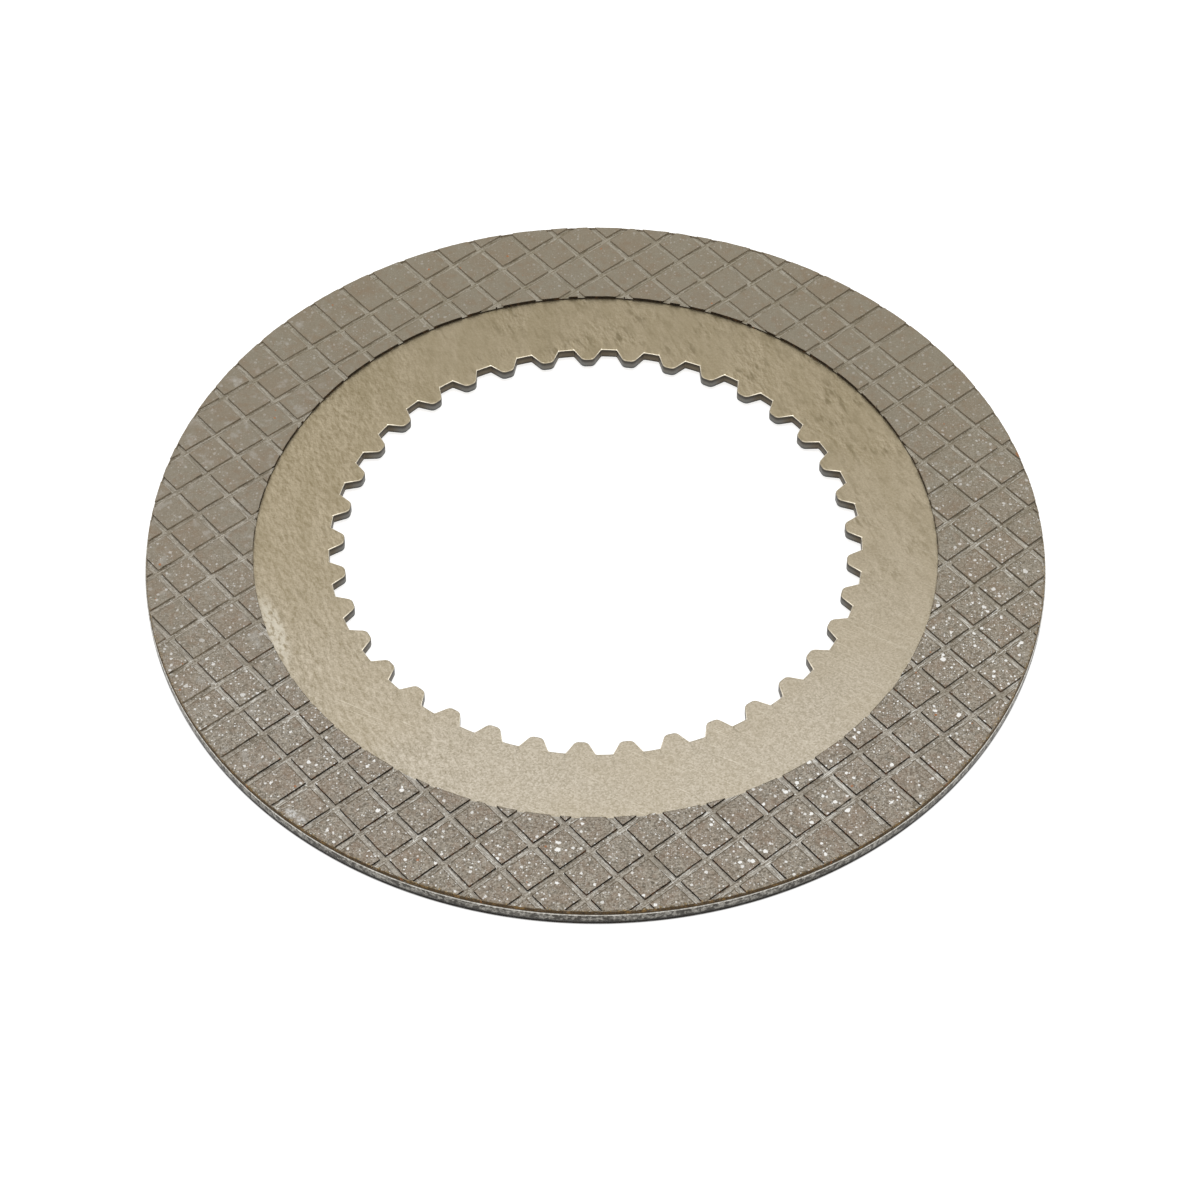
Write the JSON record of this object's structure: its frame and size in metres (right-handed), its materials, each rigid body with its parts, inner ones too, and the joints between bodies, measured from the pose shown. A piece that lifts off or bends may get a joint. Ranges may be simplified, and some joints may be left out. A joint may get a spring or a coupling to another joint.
{
  "type": "clutch disc",
  "caption": "Flat wet-clutch friction disc: splined steel core ring with a bonded, square-grooved friction facing on each side.",
  "frame": {"origin": "centre of the disc's bottom face, on its axis", "axes": "+Z along the disc's axis, upwards; +X and +Y in the plane of the bottom face, with one tooth space 9.2 degrees from +X"},
  "size_m": [0.16, 0.16, 0.0034],
  "materials": {
    "core_steel": "satin, fine brushed grain, slightly straw coloured",
    "sintered_facing": "matt sintered bronze friction material, fine grained"
  },
  "bodies": {
    "root": {"core_plate": "core_steel", "upper_facing": "sintered_facing", "lower_facing": "sintered_facing"}
  },
  "joints": []
}
